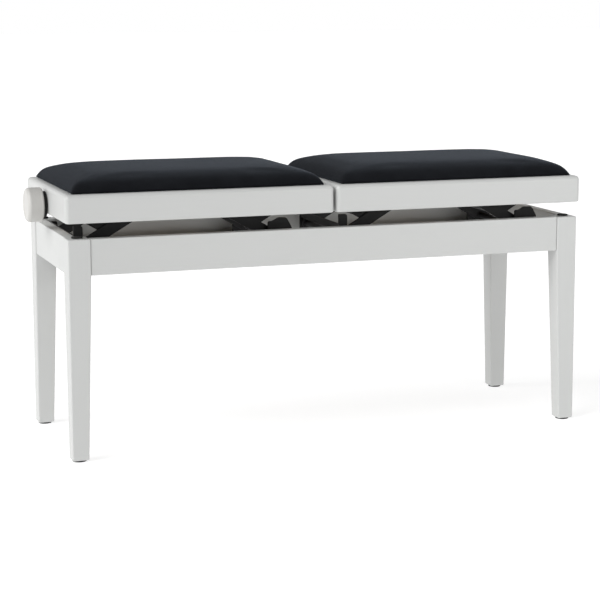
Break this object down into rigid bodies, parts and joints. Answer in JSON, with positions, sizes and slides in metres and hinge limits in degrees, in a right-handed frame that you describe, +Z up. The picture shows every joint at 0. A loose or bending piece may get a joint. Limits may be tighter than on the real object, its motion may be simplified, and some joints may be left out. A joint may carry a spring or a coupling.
{
  "type": "duet piano bench",
  "caption": "White lacquered duet piano bench with tapered square legs and separately height-adjustable black upholstered seats on steel arm linkages.",
  "frame": {"origin": "on the floor, under the middle of the bench", "axes": "+X towards the player's treble end, which is the right end seen from the front; +Y from front to rear; +Z up"},
  "size_m": [1.0734, 0.351, 0.5131],
  "materials": {
    "lacquered_wood": "satin white lacquer over solid wood",
    "plywood": "bare birch plywood",
    "upholstery": "black short-pile velour with a cool sheen",
    "black_steel": "semi-matt black powder coat",
    "bright_steel": "zinc-plated, lightly oiled",
    "bronze": "turned bronze",
    "rubber": "matt black rubber",
    "black_plastic": "matt moulded",
    "knob_white": "turned wood, satin white lacquer"
  },
  "bodies": {
    "base": {"leg_front_left": "lacquered_wood", "leg_front_right": "lacquered_wood", "leg_rear_left": "lacquered_wood", "leg_rear_right": "lacquered_wood", "apron_front": "lacquered_wood", "apron_rear": "lacquered_wood", "apron_left": "lacquered_wood", "apron_right": "lacquered_wood", "stretcher_middle": "lacquered_wood", "glide_front_left": "black_plastic", "stop_pad_front_left": "rubber", "glide_front_right": "black_plastic", "stop_pad_front_right": "rubber", "glide_rear_left": "black_plastic", "stop_pad_rear_left": "rubber", "glide_rear_right": "black_plastic", "stop_pad_rear_right": "rubber", "left_lower_rail_front": "black_steel", "left_lower_rail_rear": "black_steel", "left_cross_plate": "black_steel", "right_lower_rail_front": "black_steel", "right_lower_rail_rear": "black_steel", "right_cross_plate": "black_steel"},
    "left_seat": {"left_seat_rail_front": "lacquered_wood", "left_seat_rail_rear": "lacquered_wood", "left_seat_rail_outer": "lacquered_wood", "left_seat_rail_inner": "lacquered_wood", "left_seat_board": "plywood", "left_cushion": "upholstery", "left_upper_rail_front": "black_steel", "left_upper_rail_rear": "black_steel", "left_knob_bush": "rubber"},
    "left_arm_a": {"left_a_arm": "black_steel"},
    "left_link_a": {"left_a_link": "black_steel"},
    "left_arm_b": {"left_b_arm": "black_steel"},
    "left_link_b": {"left_b_link": "black_steel"},
    "left_carriage": {"left_carriage": "black_steel", "left_spindle_nut": "bronze"},
    "left_knob": {"left_knob": "knob_white", "left_spindle": "bright_steel"},
    "right_seat": {"right_seat_rail_front": "lacquered_wood", "right_seat_rail_rear": "lacquered_wood", "right_seat_rail_outer": "lacquered_wood", "right_seat_rail_inner": "lacquered_wood", "right_seat_board": "plywood", "right_cushion": "upholstery", "right_upper_rail_front": "black_steel", "right_upper_rail_rear": "black_steel", "right_knob_bush": "rubber"},
    "right_arm_a": {"right_a_arm": "black_steel"},
    "right_link_a": {"right_a_link": "black_steel"},
    "right_arm_b": {"right_b_arm": "black_steel"},
    "right_link_b": {"right_b_link": "black_steel"},
    "right_carriage": {"right_carriage": "black_steel", "right_spindle_nut": "bronze"},
    "right_knob": {"right_knob": "knob_white", "right_spindle": "bright_steel"}
  },
  "joints": [
    {"name": "left_lift", "type": "hinge", "parent": "base", "child": "left_arm_a", "pos_m": [-0.46125, 0, 0.375], "axis": [0, -1, 0], "range_deg": [-12.1, 31]},
    {"name": "left_link_a_turn", "type": "hinge", "parent": "left_arm_a", "child": "left_link_a", "pos_m": [-0.40582, 0, 0.407], "axis": [0, -1, 0], "range_deg": [-62.1, 24.3]},
    {"name": "left_seat_level", "type": "hinge", "parent": "left_link_a", "child": "left_seat", "pos_m": [-0.46125, 0, 0.439], "axis": [0, -1, 0], "range_deg": [-12.2, 31.1]},
    {"name": "left_arm_b_lift", "type": "hinge", "parent": "base", "child": "left_arm_b", "pos_m": [-0.08525, 0, 0.375], "axis": [0, -1, 0], "range_deg": [-31.1, 12.2]},
    {"name": "left_link_b_turn", "type": "hinge", "parent": "left_arm_b", "child": "left_link_b", "pos_m": [-0.14068, 0, 0.407], "axis": [0, -1, 0], "range_deg": [-24.3, 62.1]},
    {"name": "left_carriage_level", "type": "hinge", "parent": "left_arm_a", "child": "left_carriage", "pos_m": [-0.3504, 0, 0.439], "axis": [0, -1, 0], "range_deg": [-31.1, 12.2]},
    {"name": "left_knob_turn", "type": "hinge", "parent": "left_seat", "child": "left_knob", "pos_m": [-0.5072, 0, 0.445], "axis": [1, 0, 0], "range_deg": [-1453, 3721]},
    {"name": "right_lift", "type": "hinge", "parent": "base", "child": "right_arm_a", "pos_m": [0.04125, 0, 0.375], "axis": [0, -1, 0], "range_deg": [-12.1, 31]},
    {"name": "right_link_a_turn", "type": "hinge", "parent": "right_arm_a", "child": "right_link_a", "pos_m": [0.09668, 0, 0.407], "axis": [0, -1, 0], "range_deg": [-62.1, 24.3]},
    {"name": "right_seat_level", "type": "hinge", "parent": "right_link_a", "child": "right_seat", "pos_m": [0.04125, 0, 0.439], "axis": [0, -1, 0], "range_deg": [-12.2, 31.1]},
    {"name": "right_arm_b_lift", "type": "hinge", "parent": "base", "child": "right_arm_b", "pos_m": [0.41725, 0, 0.375], "axis": [0, -1, 0], "range_deg": [-31.1, 12.2]},
    {"name": "right_link_b_turn", "type": "hinge", "parent": "right_arm_b", "child": "right_link_b", "pos_m": [0.36182, 0, 0.407], "axis": [0, -1, 0], "range_deg": [-24.3, 62.1]},
    {"name": "right_carriage_level", "type": "hinge", "parent": "right_arm_b", "child": "right_carriage", "pos_m": [0.3064, 0, 0.439], "axis": [0, -1, 0], "range_deg": [-12.2, 31.1]},
    {"name": "right_knob_turn", "type": "hinge", "parent": "right_seat", "child": "right_knob", "pos_m": [0.5072, 0, 0.445], "axis": [-1, 0, 0], "range_deg": [-1453, 3721]}
  ],
  "couplings": [
    {"joint": "left_link_a_turn", "follows": "left_lift", "ratio": -2},
    {"joint": "left_seat_level", "follows": "left_lift", "ratio": 1},
    {"joint": "left_carriage_level", "follows": "left_lift", "ratio": -1},
    {"joint": "left_arm_b_lift", "follows": "left_lift", "ratio": -1},
    {"joint": "left_link_b_turn", "follows": "left_lift", "ratio": 2},
    {"joint": "left_knob_turn", "follows": "left_lift", "ratio": 120},
    {"joint": "right_link_a_turn", "follows": "right_lift", "ratio": -2},
    {"joint": "right_seat_level", "follows": "right_lift", "ratio": 1},
    {"joint": "right_carriage_level", "follows": "right_lift", "ratio": 1},
    {"joint": "right_arm_b_lift", "follows": "right_lift", "ratio": -1},
    {"joint": "right_link_b_turn", "follows": "right_lift", "ratio": 2},
    {"joint": "right_knob_turn", "follows": "right_lift", "ratio": 120}
  ]
}
